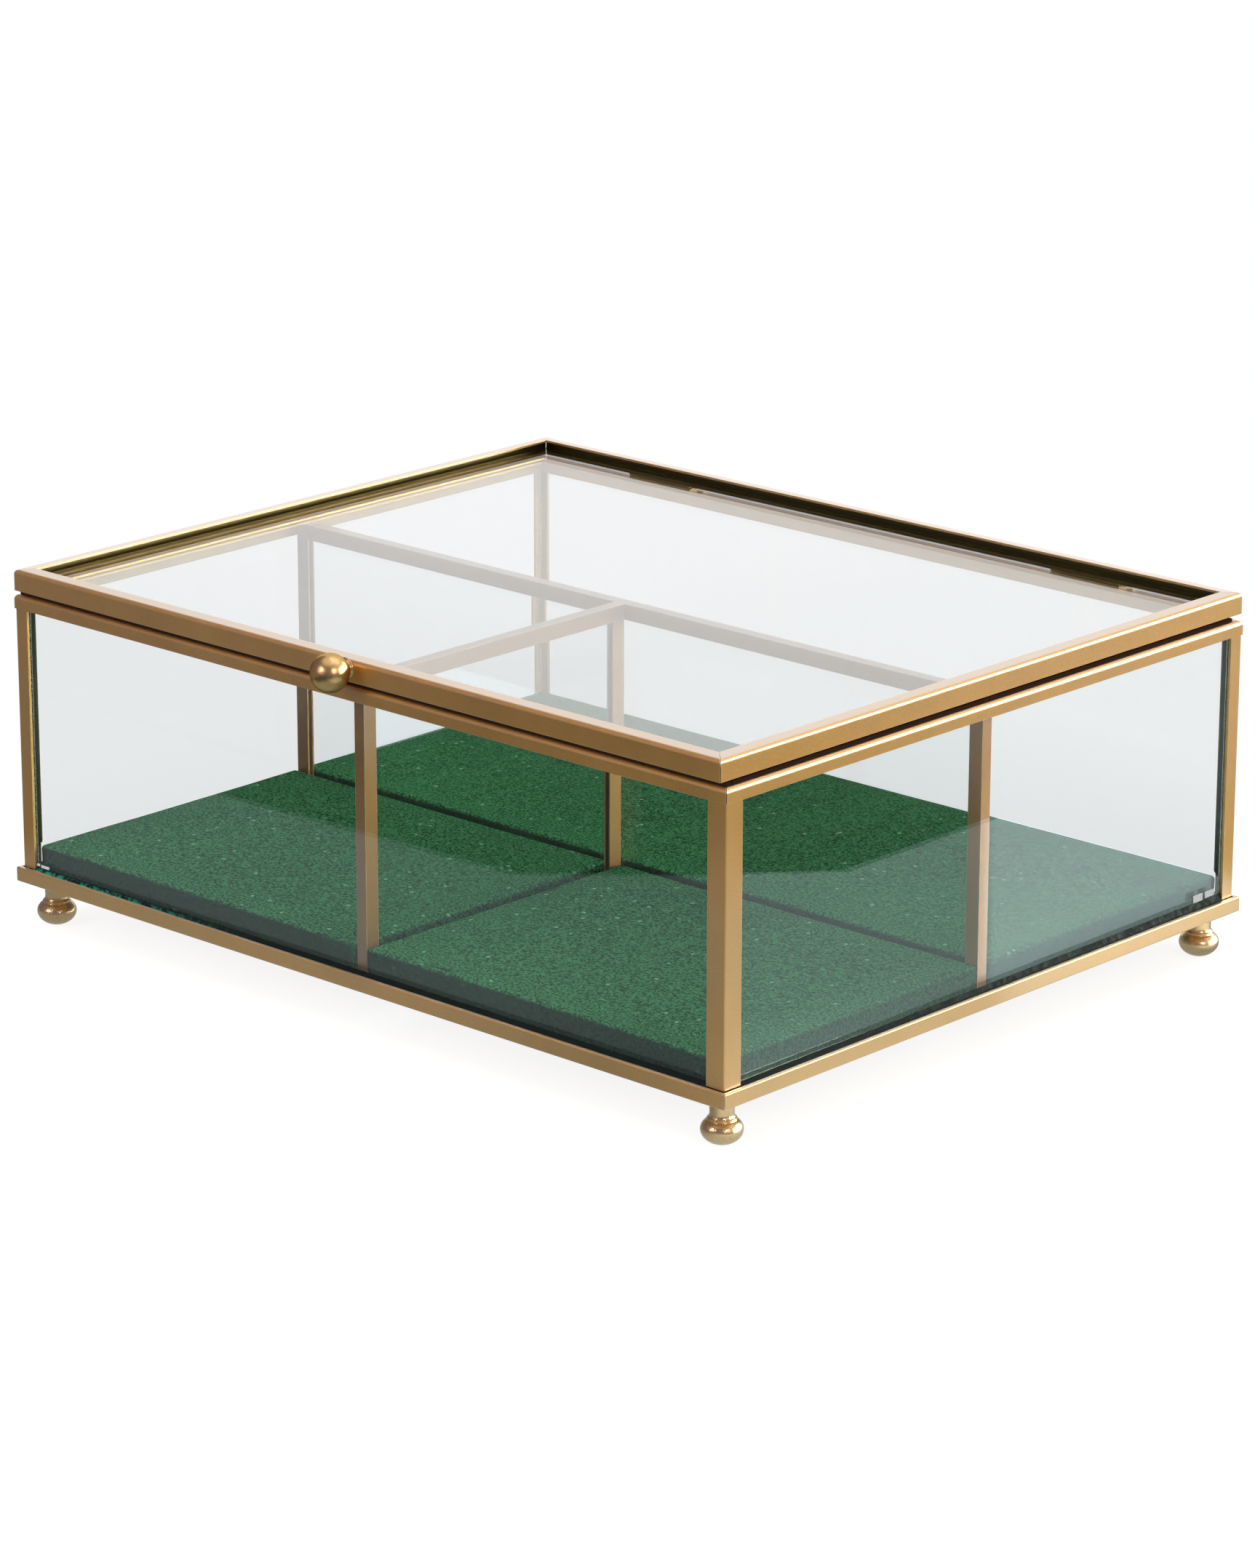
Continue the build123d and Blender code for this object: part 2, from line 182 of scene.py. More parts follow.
def gold(name, deep, light, top_highlight, rubbed_highlight, rough, lacquer, grain_size, grain_depth, wave_depth,
         rim=WHITE, channel_shaded=False, shaded_inside=False):
    """Lacquered gold: a fine grain, slow clouds of tone, painted highlight on faces turned up, edges painted
    lighter.

    Edges are partly rubbed wear, partly painted highlight. A channel-shaded one has painted shade round the
    glass.
    A shaded inside has painted shade on faces that look to the right.
    """
    material, tree = empty_material(name)
    place = own_place(tree)
    grain = texture_noise(tree, place, 1 / grain_size, detail=3.0, rough=0.6)
    cloud = texture_noise(tree, place, 70.0, detail=4.0, rough=0.6)
    wave = texture_noise(tree, place, 240.0)
    rounded = add(tree, "Bevel", {"Radius": EDGE_ROUND}, samples=6).outputs["Normal"]
    facing = add(tree, "NewGeometry").outputs["Normal"]
    square = add(tree, "VectorMath", {0: rounded, 1: facing}, operation="DOT_PRODUCT").outputs["Value"]
    # Edges are painted lighter, partly as rubbed wear and partly as a painted highlight.
    edge = spans(tree, square, 0.97, 0.80, 0.0, 1.0)
    edge_wear_and_highlight = times(tree, edge, spans(tree, wave, 0.35, 0.6, 0.35, 1.0))
    tone = plus(tree, graded(tree, cloud, 0.0, 0.4), graded(tree, grain, -0.1, 0.7))
    colour = blend_colours(tree, tone, deep, light)
    to_right, to_back, up = split(tree, own_direction(tree, "Normal"))
    # Painted highlight: faces turned up are painted paler.
    top = times(tree, spans(tree, up, 0.90, 0.98, 0.0, 0.6), graded(tree, cloud, 0.75, 1.0))
    colour = blend_colours(tree, top, colour, top_highlight)
    colour = blend_colours(tree, edge_wear_and_highlight, colour, rubbed_highlight)
    # Painted shade in the lid's channel round the glass, with less lacquer there.
    if channel_shaded:
        x, y, z = split(tree, place)
        outward = plus(tree, times(tree, to_right, x), times(tree, to_back, y))
        inward = spans(tree, outward, INWARD_START, INWARD_FULL, 0.0, 1.0)
        bed = times(tree, spans(tree, z, BED_START, BED_FULL, 0.0, 1.0), spans(tree, up, 0.6, 0.9, 0.0, 1.0))
        channel_shade_mask = times(tree, arith(tree, "MAXIMUM", inward, bed),
                       spans(tree, z, CHANNEL_SHADE_START, CHANNEL_SHADE_FULL, 0.0, 1.0))
        shade_colour = blend_colours(tree, spans(tree, x, LEFT_START, LEFT_FULL, 0.0, 1.0), CHANNEL_SHADE, LEFT_CHANNEL_SHADE)
        colour = blend_colours(tree, times(tree, channel_shade_mask, CHANNEL_SHADE_SHARE), colour, shade_colour)
        lacquer = spans(tree, channel_shade_mask, 0.0, 1.0, lacquer, SHADED_LACQUER)
    # Painted shade on faces that look to the right.
    if shaded_inside:
        colour = blend_colours(tree, spans(tree, to_right, 0.5, 0.9, 0.0, INSIDE_SHADE_SHARE), colour, INSIDE_SHADE)
    dull = plus(tree, graded(tree, grain, rough - GRAIN_ROUGH, rough + GRAIN_ROUGH),
                graded(tree, cloud, -CLOUD_ROUGH, CLOUD_ROUGH))
    height = plus(tree, times(tree, grain, grain_depth), times(tree, wave, wave_depth))
    shader = add(tree, "BsdfPrincipled", {
        "Base Color": colour, "Metallic": 1.0, "Roughness": dull, "Specular Tint": rim,
        "Coat Weight": lacquer, "Coat Roughness": 0.2, "Coat IOR": 1.8,
        "Normal": bumped(tree, height, Normal=rounded)})
    close(tree, shader.outputs["BSDF"])
    return material


SATIN_RELIEF = {"rough": 0.54, "lacquer": 1.0, "grain_size": 0.28 * MM, "grain_depth": 0.018 * MM,
                "wave_depth": 0.030 * MM}
SATIN = {"deep": (0.63, 0.340, 0.088, 1), "light": (0.80, 0.450, 0.120, 1), "top_highlight": (0.60, 0.60, 0.58, 1),
         "rubbed_highlight": (0.95, 0.76, 0.50, 1), **SATIN_RELIEF}
GOLD = gold("satin_gold", **SATIN)
CHANNEL_SHADED_GOLD = gold("lid_gold_painted_shade", **SATIN, channel_shaded=True)
SHADED_LEFT_RAIL = gold("left_rail_gold_painted_shade", **SATIN, shaded_inside=True)
# The dividers' gold is a darker copy of the satin gold: painted shade inside the box.
SHADED_DIVIDER = gold("divider_gold_painted_shade", deep=(0.29, 0.140, 0.040, 1), light=(0.38, 0.190, 0.058, 1),
               top_highlight=(0.34, 0.26, 0.195, 1), rubbed_highlight=(0.76, 0.58, 0.38, 1), **SATIN_RELIEF)
POLISHED = gold("polished_gold", deep=(0.58, 0.35, 0.14, 1), light=(0.80, 0.54, 0.27, 1),
                top_highlight=(0.74, 0.50, 0.25, 1), rubbed_highlight=(0.90, 0.70, 0.45, 1), rough=0.30, lacquer=0.5,
                grain_size=0.35 * MM, grain_depth=0.005 * MM, wave_depth=0.06 * MM)
BRONZED = gold("knob_gold", deep=(0.58, 0.35, 0.125, 1), light=(0.72, 0.46, 0.19, 1),
               top_highlight=(0.66, 0.42, 0.17, 1), rubbed_highlight=(0.84, 0.60, 0.32, 1), rough=0.32, lacquer=0.25,
               grain_size=0.35 * MM, grain_depth=0.003 * MM, wave_depth=0.015 * MM, rim=(0.5, 0.32, 0.15, 1))
BRASS = gold("hinge_brass", deep=(0.40, 0.30, 0.16, 1), light=(0.52, 0.41, 0.25, 1),
             top_highlight=(0.50, 0.44, 0.36, 1), rubbed_highlight=(0.58, 0.45, 0.26, 1), rough=0.44, lacquer=0.3,
             grain_size=0.22 * MM, grain_depth=0.006 * MM, wave_depth=0.010 * MM)


# Glass, velvet and card

CLEAR_FACE = (0.980, 0.986, 0.992, 1)
CUT_GREEN = (0.06, 0.17, 0.13, 1)
CUT_PAINTED_GLINT = (0.42, 0.80, 0.70, 1)
SHADED_EDGE = (0.035, 0.028, 0.010, 1)
PANE_SHADOW = (0.9, 0.93, 0.92, 1)
PANE_TINT, PANE_DENSITY = (0.25, 0.76, 0.58, 1), 5.0
# Greyer where a pane is seen at a low angle.
LOW_ANGLE_FACE = (0.58, 0.585, 0.597, 1)
CHIP_DEPTH, GROUND_DEPTH = 0.3 * MM, 0.05 * MM
AIR_FILM = 0.02 * MM


def pane_glass(name, across, shaded_edges=False, low_colour=None):
    """Clear float glass: polished faces across an axis, cut edges ground and green with painted glints.

    Shaded edges are painted dark, as painted shade. With a low colour it is duller where it is seen at a low
    angle.
    """
    material, tree = empty_material(name)
    parts = add(tree, "SeparateXYZ", {"Vector": own_direction(tree, "True Normal")})
    square = add(tree, "Math", {0: parts.outputs[across]}, operation="ABSOLUTE").outputs["Value"]
    cut = spans(tree, square, 0.6, 0.4, 0.0, 1.0)
    place = own_place(tree)
    chips = add(tree, "TexVoronoi", {"Vector": place, "Scale": 900.0}).outputs["Distance"]
    ground = texture_noise(tree, place, 2500.0)
    # Painted glints: lighter teal patches on the cut edges.
    painted_glint = spans(tree, texture_noise(tree, place, 260.0, detail=3.0, rough=0.6), 0.56, 0.66, 0.0, 1.0)
    face = CLEAR_FACE
    if low_colour:
        slant = add(tree, "LayerWeight", {"Blend": 0.5}).outputs["Facing"]
        face = blend_colours(tree, spans(tree, slant, 0.45, 0.72, 0.0, 1.0), CLEAR_FACE, low_colour)
    colour = blend_colours(tree, cut, face, blend_colours(tree, painted_glint, CUT_GREEN, CUT_PAINTED_GLINT))
    dull = times(tree, cut, graded(tree, ground, 0.12, 0.34))
    relief = plus(tree, times(tree, chips, CHIP_DEPTH), times(tree, ground, GROUND_DEPTH))
    shader = add(tree, "BsdfPrincipled", {
        "Base Color": colour, "Roughness": dull, "IOR": 1.5, "Transmission Weight": 1.0,
        "Normal": bumped(tree, times(tree, relief, cut))}).outputs["BSDF"]
    # Painted shade: the cut edges are a dark matt surface.
    if shaded_edges:
        edge_shade = add(tree, "BsdfDiffuse", {"Color": SHADED_EDGE}).outputs["BSDF"]
        shader = mix_shaders(tree, cut, shader, edge_shade)
    clear = add(tree, "BsdfTransparent", {"Color": PANE_SHADOW}).outputs["BSDF"]
    shadow = add(tree, "LightPath").outputs["Is Shadow Ray"]
    tint = add(tree, "VolumeAbsorption", {"Color": PANE_TINT, "Density": PANE_DENSITY}).outputs["Volume"]
    close(tree, mix_shaders(tree, shadow, shader, clear), tint)
    return material


PILE_DEEP, PILE_TIPS = (0.0020, 0.020, 0.0065, 1), (0.048, 0.180, 0.072, 1)
SIDE_SHADE = (0.008, 0.012, 0.009, 1)
LINT, LINT_SHARE = (0.28, 0.46, 0.35, 1), 0.55
TOOTH_DEPTH, NAP_DEPTH = 0.10 * MM, 0.22 * MM


def velvet(name):
    """Short velvet pile: mottled where the nap lies differently, with a fine tooth and a little lint.

    The sides of a pad are painted nearly black as painted shade, less so where they look to the right, into
    the light.
    """
    material, tree = empty_material(name)
    place = own_place(tree)
    nap = texture_noise(tree, place, 170.0, detail=5.0, rough=0.65)
    sweep = texture_noise(tree, place, 28.0, detail=3.0, rough=0.55, stretch=(1.0, 0.45, 1.0))
    tooth = texture_noise(tree, place, 1800.0, detail=2.0, rough=0.8)
    speck = add(tree, "TexVoronoi", {"Vector": place, "Scale": 420.0, "Randomness": 1.0})
    chosen = add(tree, "SeparateColor", {"Color": speck.outputs["Color"]}).outputs["Red"]
    lint = times(tree, spans(tree, speck.outputs["Distance"], 0.24, 0.13, 0.0, 1.0),
                 spans(tree, chosen, 0.86, 0.865, 0.0, 1.0))
    tone = plus(tree, graded(tree, nap, 0.13, 0.27), graded(tree, sweep, 0.0, 0.15))
    tone = plus(tree, tone, spans(tree, tooth, 0.35, 0.65, -0.6, 1.0))
    colour = blend_colours(tree, tone, PILE_DEEP, PILE_TIPS)
    colour = blend_colours(tree, times(tree, lint, LINT_SHARE), colour, LINT)
    to_right, _, up = split(tree, own_direction(tree, "Normal"))
    # Painted shade on the sides of a pad, lighter on sides that look to the right.
    side = times(tree, spans(tree, up, 0.85, 0.35, 0.0, 1.0), spans(tree, to_right, 0.2, 0.8, 0.85, 0.45))
    colour = blend_colours(tree, side, colour, SIDE_SHADE)
    height = plus(tree, times(tree, tooth, TOOTH_DEPTH), times(tree, nap, NAP_DEPTH))
    shader = add(tree, "BsdfPrincipled", {
        "Base Color": colour, "Roughness": graded(tree, tooth, 0.88, 1.0), "Specular IOR Level": 0.0,
        "Sheen Weight": 0.08, "Sheen Roughness": 0.4, "Sheen Tint": (0.30, 0.62, 0.38, 1),
        "Normal": bumped(tree, height)})
    close(tree, shader.outputs["BSDF"])
    return material


def card(name):
    """Pressed grey card with short fibres."""
    material, tree = empty_material(name)
    place = own_place(tree)
    fibre = texture_noise(tree, place, 500.0, detail=4.0, rough=0.6, stretch=(1.0, 3.0, 1.0))
    cloud = texture_noise(tree, place, 60.0, detail=3.0)
    tone = plus(tree, graded(tree, fibre, 0.0, 0.7), graded(tree, cloud, 0.0, 0.3))
    colour = blend_colours(tree, tone, (0.30, 0.25, 0.19, 1), (0.44, 0.38, 0.30, 1))
    shader = add(tree, "BsdfPrincipled", {
        "Base Color": colour, "Roughness": graded(tree, fibre, 0.8, 0.95),
        "Normal": bumped(tree, fibre, 0.05 * MM)})
    close(tree, shader.outputs["BSDF"])
    return material


PANES = {axis: pane_glass(f"pane_glass_{axis.lower()}", axis) for axis in "XYZ"}
LID_PANE = pane_glass("lid_pane_glass", "Z", True, LOW_ANGLE_FACE)
VELVET = velvet("green_velvet")
CARD = card("grey_card")


def pane_axis(name):
    """The axis that a pane's polished faces lie across."""
    if name == "bottom_glass":
        return "Z"
    if name in ("wall_glass_left", "wall_glass_right", "cross_divider_glass"):
        return "X"
    return "Y"


def finish_of(name):
    """The material of a CAD node."""
    if name == "lid_glass":
        return LID_PANE
    if "glass" in name:
        return PANES[pane_axis(name)]
    if name.startswith("pad_board"):
        return CARD
    if name.startswith("hinge") or name == "knob_screw":
        return BRASS
    if name.startswith("lid_rail"):
        return CHANNEL_SHADED_GOLD
    if name == "top_rail_left":
        return SHADED_LEFT_RAIL
    if "divider" in name:
        return SHADED_DIVIDER
    return GOLD


for node_name, node_object in nodes.items():
    node_object.data.materials.clear()
    node_object.data.materials.append(finish_of(node_name))
    if "glass" in node_name:
        # A film of air lies between a pane and the metal or glass that it touches.
        film = node_object.modifiers.new("air_film", "DISPLACE")
        film.strength = -AIR_FILM
        film.mid_level = 0.0


# Turned pieces: the feet and the knob

# Points round a turned piece
BALL_AROUND = 72
# A point of a profile that is closer to the axis than this is on it.
ON_AXIS = 0.01 * MM
KNOB_RADIUS = 3.95 * MM
KNOB_NECK = 1.9 * MM
KNOB_FLARE = 2.2 * MM
KNOB_DROP = 4.4 * MM
KNOB_RAISED = 0.6 * MM


def mesh_piece(name, body, material, form):
    """A smooth mesh from a bmesh, in the frame's own place, that rides on a body."""
    bmesh.ops.recalc_face_normals(form, faces=form.faces)
    data = bpy.data.meshes.new(name)
    form.to_mesh(data)
    form.free()
    data.polygons.foreach_set("use_smooth", [True] * len(data.polygons))
    data.materials.append(material)
    piece = bpy.data.objects.new(name, data)
    bpy.context.scene.collection.objects.link(piece)
    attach(piece, body)
    return piece


def curve_between(first, bend, last, steps):
    """Points on a curve that leaves first towards bend and reaches last from it."""
    for step in range(steps + 1):
        t = step / steps
        yield tuple((1 - t) ** 2 * a + 2 * t * (1 - t) * b + t * t * c for a, b, c in zip(first, bend, last))


def knob_profile():
    """A ball on a waisted neck that flares out at its top, as (distance from the axis, drop)."""
    meet = math.asin(KNOB_NECK / KNOB_RADIUS) + 0.16
    joint = (KNOB_RADIUS * math.sin(meet), KNOB_DROP - KNOB_RADIUS * math.cos(meet))
    waist = 0.93 * KNOB_NECK
    throat = joint[1] - 0.55 * MM
    profile = [(0.0, 0.0)]
    profile += curve_between((KNOB_FLARE, 0.0), (waist, 0.25 * throat), (waist, 0.6 * throat), 6)
    profile += curve_between((waist, 0.62 * throat), (waist, throat), joint, 6)
    for step in range(1, 31):
        turn = meet + (math.pi - meet) * step / 30
        profile.append((KNOB_RADIUS * math.sin(turn), KNOB_DROP - KNOB_RADIUS * math.cos(turn)))
    return profile


def foot_profile():
    """A straight neck, a crease and a squat ball, as (distance from the axis, drop)."""
    collar, neck, crease = 2.75, 2.4, 2.85
    ball, ball_drop, upper_half, lower_half, first_turn = 4.15, 6.5, 2.85, 3.0, 42
    profile = [(0.0, 0.0)]
    profile += curve_between((collar, 0.0), (neck, 0.3), (neck, 1.2), 4)
    profile += curve_between((neck, 3.2), (2.45, 3.9), (crease, 4.1), 5)
    profile += list(curve_between((crease, 4.1), (3.0, 4.25), (2.72, 4.36), 4))[1:]
    for step in range(1, 27):
        turn = math.radians(first_turn + (180 - first_turn) * step / 26)
        tall = upper_half if turn < math.pi / 2 else lower_half
        profile.append((ball * math.sin(turn), ball_drop - tall * math.cos(turn)))
    return [(out * MM, drop * MM) for out, drop in profile]


def turned(name, body, profile, material, place):
    """A turned piece: the profile goes round, and place puts (across, across, drop) in the frame."""
    form = bmesh.new()
    rings = []
    for out, drop in profile:
        if out < ON_AXIS:
            rings.append([form.verts.new(place(0.0, 0.0, drop))] * BALL_AROUND)
            continue
        ring = []
        for spot in range(BALL_AROUND):
            turn = 2 * math.pi * spot / BALL_AROUND
            ring.append(form.verts.new(place(out * math.cos(turn), out * math.sin(turn), drop)))
        rings.append(ring)
    for upper, lower in zip(rings, rings[1:]):
        for spot in range(BALL_AROUND):
            corners = (upper[spot - 1], upper[spot], lower[spot], lower[spot - 1])
            form.faces.new(dict.fromkeys(corners))
    return mesh_piece(name, body, material, form)


for corner in ("front_left", "front_right", "back_left", "back_right"):
    low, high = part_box(f"foot_{corner}")
    middle = (low + high) / 2
    foot = turned(f"ball_foot_{corner}", "box", foot_profile(), POLISHED,
                  lambda a, b, drop: (middle.x + a, middle.y + b, FOOT_HEIGHT - drop))
    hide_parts(f"foot_{corner}")

knob_low, knob_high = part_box("lid_knob")
knob_middle = (knob_low + knob_high) / 2
knob_height = knob_middle.z + KNOB_RAISED
ball_knob = turned("ball_knob", "lid", knob_profile(), BRONZED,
                   lambda a, b, drop: (knob_middle.x + a, knob_high.y - drop, knob_height + b))
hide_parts("lid_knob")


# Velvet pads, modelled as the cloth lies: rolled over the edge and folded under, up to the board's edge

PAD_CORNER = 1.0 * MM
PAD_ROLL = 0.9 * MM
PAD_EDGE = 5.5 * MM
PAD_CROWN = 0.5 * MM
PAD_CROWN_RUN = 20 * MM
PAD_TUCK = 0.5 * MM
PAD_HEM = 6.0 * MM
PAD_BOW = 0.35 * MM
PAD_HOLLOW = 0.07 * MM
PAD_STRAY, STRAY_RATE = 0.09 * MM, 70
PAD_WAVE, WAVE_RATE = 0.07 * MM, 45
PAD_LIFT = 0.02 * MM
PAD_GRID = 2.0 * MM
PAD_BOARD = 1.55 * MM
CORNER_STEPS = 10
SAME_PLACE = 0.001 * MM


def pad_profile():
    """(outwards from the corner's middle, height) from the top, over the edge and under to the board."""
    profile = [(0.5 * (PAD_CORNER - PAD_ROLL), PAD_EDGE)]
    for step in range(9):
        turn = math.pi / 2 * step / 8
        profile.append((PAD_CORNER - PAD_ROLL * (1 - math.sin(turn)),
                        PAD_EDGE - PAD_ROLL * (1 - math.cos(turn))))
    for step in range(1, 4):
        part = step / 4
        height = PAD_EDGE - PAD_ROLL - part * (PAD_EDGE - PAD_ROLL - PAD_TUCK)
        profile.append((PAD_CORNER - PAD_HOLLOW * math.sin(math.pi * part), height))
    for step in range(5):
        turn = math.pi / 2 * step / 4
        profile.append((PAD_CORNER - PAD_TUCK * (1 - math.cos(turn)), PAD_TUCK * (1 - math.sin(turn))))
    profile.append((PAD_CORNER - 0.5 * PAD_HEM, 0.0))
    profile.append((PAD_CORNER - PAD_HEM, 0.0))
    profile.append((PAD_CORNER - PAD_HEM, PAD_BOARD))
    return profile


def pad_piece(name, node):
    """A velvet pad in the place of a CAD pad: a grid on top, and rings over its edge and under it."""
    low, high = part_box(node)
    middle = (low + high) / 2
    half_x, half_y = (high.x - low.x) / 2, (high.y - low.y) / 2
    in_x, in_y = half_x - PAD_CORNER, half_y - PAD_CORNER
    count_x, count_y = round(2 * in_x / PAD_GRID), round(2 * in_y / PAD_GRID)
    floor = low.z + PAD_LIFT

    def crowned(x, y):
        rise = 1.0
        for spot, half in ((x, half_x), (y, half_y)):
            rise *= 1 - (1 - min((half - abs(spot)) / PAD_CROWN_RUN, 1.0)) ** 2
        return PAD_CROWN * max(rise, 0.0)

    def drawn_in(x, y, out):
        """Sides draw in between the corners, and the cloth is never quite straight."""
        pull_x = PAD_BOW * (1 - (y / half_y) ** 2) * max(0.0, abs(x) / half_x) ** 6
        pull_y = PAD_BOW * (1 - (x / half_x) ** 2) * max(0.0, abs(y) / half_y) ** 6
        stray = noise.noise(Vector((middle.x + x, middle.y + y, 0.3)) * STRAY_RATE) * PAD_STRAY * out
        return x - math.copysign(pull_x + stray, x), y - math.copysign(pull_y + stray, y)

    def vert(x, y, height, out):
        moved_x, moved_y = drawn_in(x, y, out)
        lifted = height
        if height > PAD_EDGE - PAD_ROLL:
            share = min(1.0, (height - PAD_EDGE + PAD_ROLL) / PAD_ROLL)
            wave = noise.noise(Vector((middle.x + x, middle.y + y, 0.7)) * WAVE_RATE) * PAD_WAVE
            lifted += share * (crowned(x, y) + wave)
        return form.verts.new((middle.x + moved_x, middle.y + moved_y, floor + lifted))

    form = bmesh.new()
    grid = [[vert(-in_x + 2 * in_x * i / count_x, -in_y + 2 * in_y * j / count_y, PAD_EDGE, 0.0)
             for i in range(count_x + 1)] for j in range(count_y + 1)]
    for j in range(count_y):
        for i in range(count_x):
            form.faces.new((grid[j][i], grid[j][i + 1], grid[j + 1][i + 1], grid[j + 1][i]))
    sides = [[grid[0][i] for i in range(count_x + 1)],
             [grid[j][count_x] for j in range(count_y + 1)],
             [grid[count_y][count_x - i] for i in range(count_x + 1)],
             [grid[count_y - j][0] for j in range(count_y + 1)]]
    corners = [(-in_x, -in_y), (in_x, -in_y), (in_x, in_y), (-in_x, in_y)]
    inner, spots = [], []
    for side, row in enumerate(sides):
        begin, end = corners[side], corners[(side + 1) % 4]
        for i, found in enumerate(row):
            part = i / (len(row) - 1)
            inner.append(found)
            spots.append((begin[0] + part * (end[0] - begin[0]), begin[1] + part * (end[1] - begin[1]),
                          math.radians(90 * side - 90)))
        for step in range(1, CORNER_STEPS):
            inner.append(row[-1])
            spots.append((end[0], end[1], math.radians(90 * side - 90 + 90 * step / CORNER_STEPS)))
    for out, height in pad_profile():
        ring = []
        for x, y, turn in spots:
            if out < 0:
                limit_x, limit_y = half_x - PAD_CORNER + out, half_y - PAD_CORNER + out
                at = (max(-limit_x, min(limit_x, x)), max(-limit_y, min(limit_y, y)))
            else:
                at = (x + out * math.cos(turn), y + out * math.sin(turn))
            ring.append(vert(at[0], at[1], height, 1.0))
        for spot in range(len(spots)):
            face = dict.fromkeys((inner[spot - 1], ring[spot - 1], ring[spot], inner[spot]))
            if len(face) > 2:
                form.faces.new(face)
        inner = ring
    form.faces.new(inner[::-1])
    bmesh.ops.remove_doubles(form, verts=form.verts, dist=SAME_PLACE)
    bmesh.ops.dissolve_degenerate(form, edges=form.edges, dist=SAME_PLACE)
    piece = mesh_piece(name, "box", VELVET, form)
    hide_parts(node)


for pad_name in ("back", "front_left", "front_right"):
    pad_piece(f"velvet_pad_{pad_name}", f"pad_{pad_name}")


# Painted shade: dark beads at the foot of the panes, which also stand for dark glass edge, dark beads in two
# inside corners, and dark felt strips that the lid rests over; and dabs of glue

# Length of a bead's pieces, and the height and rate of its ripple, in millimetres
BEAD_STEP = 2.5
BEAD_RIPPLE, RIPPLE_RATE = 0.10, 0.35


def strip(form, side, half, start, end, section, rise=(0.0, 0.0)):
    """A bead along one side. Its section is (depth behind the side's face, height), in millimetres."""
    steps = max(1, round(abs(end - start) / BEAD_STEP))
    top = max(height for depth, height in section)
    rings = []
    for step in range(steps + 1):
        part = step / steps
        along = start + (end - start) * part
        ring = []
        for depth, height in section:
            out = half - depth
            if height == top:
                height += rise[0] + (rise[1] - rise[0]) * part
                height += BEAD_RIPPLE * noise.noise(Vector((along, out, 3.0)) * RIPPLE_RATE)
            across = {"front": (along, -out), "back": (along, out),
                      "left": (-out, along), "right": (out, along)}
            ring.append(form.verts.new(Vector((*across[side], height)) * MM + HOME))
        rings.append(ring)
    for first, second in zip(rings, rings[1:]):
        for spot in range(len(section)):
            form.faces.new((first[spot - 1], first[spot], second[spot], second[spot - 1]))
    form.faces.new(rings[0])
    form.faces.new(rings[-1][::-1])


def flat_piece(name, material, form):
    """A flat shaded piece that rides on the box."""
    piece = mesh_piece(name, "box", material, form)
    piece.data.polygons.foreach_set("use_smooth", [False] * len(piece.data.polygons))


def shade_sealant(name, dark, light, painted_glints):
    """Wet black green bead, painted shade and dark glass edge, with painted glints at the front left if asked
    for.
    """
    material, tree = empty_material(name)
    place = own_place(tree)
    x, y, z = split(tree, place)
    lumps = texture_noise(tree, place, 700.0, detail=3.0, rough=0.6)
    crumbs = texture_noise(tree, place, 900.0, detail=4.0, rough=0.65)
    near = times(tree, spans(tree, x, -30 * MM, -85 * MM, 0.0, 1.0),
                 spans(tree, y, -70 * MM, -74 * MM, 0.0, 1.0))
    low_down = spans(tree, z, 13.15 * MM, 12.85 * MM, 0.15, 1.0)
    # Painted glints, low down at the front left.
    painted_glint = times(tree, spans(tree, crumbs, 0.46, 0.56, 0.0, painted_glints), times(tree, near, low_down))
    colour = blend_colours(tree, lumps, dark, light)
    colour = blend_colours(tree, painted_glint, colour, (0.02, 0.30, 0.22, 1))
    shader = add(tree, "BsdfPrincipled", {
        "Base Color": colour, "Roughness": graded(tree, lumps, 0.35, 0.6), "Specular IOR Level": 0.08,
        "Normal": bumped(tree, lumps, 0.12 * MM)})
    close(tree, shader.outputs["BSDF"])
    return material


def gap_shade_felt(name):
    """Dark brown felt with a short nap, put in the gap under the lid as painted shade."""
    material, tree = empty_material(name)
    nap = texture_noise(tree, own_place(tree), 1200.0, detail=3.0, rough=0.7)
    colour = blend_colours(tree, nap, (0.020, 0.009, 0.005, 1), (0.060, 0.028, 0.014, 1))
    shader = add(tree, "BsdfPrincipled", {
        "Base Color": colour, "Roughness": graded(tree, nap, 0.85, 1.0), "Specular IOR Level": 0.1,
        "Normal": bumped(tree, nap, 0.1 * MM)})
    close(tree, shader.outputs["BSDF"])
    return material


def glue(name):
    """Dried white glue, a little waxy."""
    material, tree = empty_material(name)
    lumps = texture_noise(tree, own_place(tree), 900.0, detail=3.0, rough=0.6)
    colour = blend_colours(tree, lumps, (0.70, 0.72, 0.70, 1), (0.92, 0.93, 0.92, 1))
    shader = add(tree, "BsdfPrincipled", {
        "Base Color": colour, "Roughness": graded(tree, lumps, 0.35, 0.55),
        "Normal": bumped(tree, lumps, 0.1 * MM)})
    close(tree, shader.outputs["BSDF"])
    return material


# The dark beads are painted shade, and at the foot of the panes also dark glass edge.
SHADE_SEALANT = shade_sealant("black_shade_sealant", (0.004, 0.007, 0.005, 1), (0.012, 0.018, 0.014, 1), 1.0)
CORNER_SHADE_BEAD = shade_sealant("green_shade_strip", (0.004, 0.012, 0.008, 1), (0.03, 0.075, 0.05, 1), 0.0)
GAP_SHADE = gap_shade_felt("gap_shade_felt")
GLUE = glue("white_glue")

